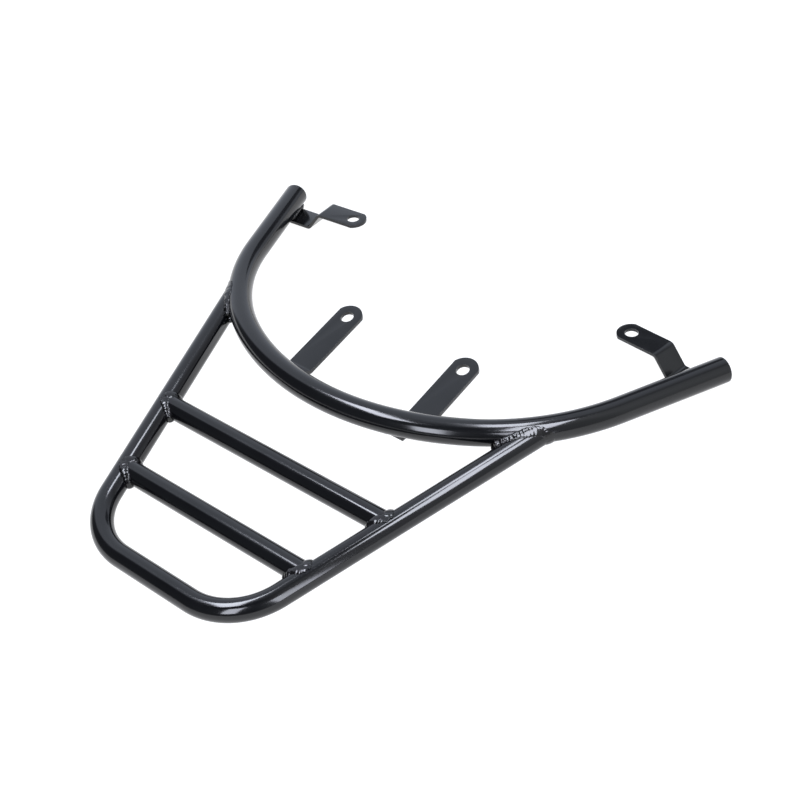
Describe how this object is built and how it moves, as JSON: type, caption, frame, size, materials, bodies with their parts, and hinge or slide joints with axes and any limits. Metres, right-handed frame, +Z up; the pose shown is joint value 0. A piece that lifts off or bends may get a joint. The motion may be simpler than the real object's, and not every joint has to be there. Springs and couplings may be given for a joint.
{
  "type": "motorcycle luggage rack",
  "caption": "Luggage rack of bent tube: a hoop behind the seat, a tapered loop with cross tubes, and flat lugs with bolt holes.",
  "frame": {"origin": "midway between the two strap holes, on the underside of the straps", "axes": "+X to the right across the rack, +Y forward to the open ends of the hoop, +Z up, square to the straps"},
  "size_m": [0.3694, 0.3151, 0.0559],
  "materials": {
    "tube_coat": "gloss black powder coat over steel tube",
    "bar_coat": "gloss black powder coat over flat steel bar",
    "weld_coat": "gloss black powder coat over weld beads"
  },
  "bodies": {
    "root": {"hoop_tube": "tube_coat", "left_end_cap": "tube_coat", "right_end_cap": "tube_coat", "luggage_loop": "tube_coat", "front_cross_tube": "tube_coat", "rear_cross_tube": "tube_coat", "left_strap": "bar_coat", "right_strap": "bar_coat", "left_bracket": "bar_coat", "right_bracket": "bar_coat", "left_leg_weld": "weld_coat", "right_leg_weld": "weld_coat", "front_cross_left_weld": "weld_coat", "front_cross_right_weld": "weld_coat", "rear_cross_left_weld": "weld_coat", "rear_cross_right_weld": "weld_coat", "left_strap_weld": "weld_coat", "right_strap_weld": "weld_coat", "left_bracket_weld": "weld_coat", "right_bracket_weld": "weld_coat"}
  },
  "joints": []
}
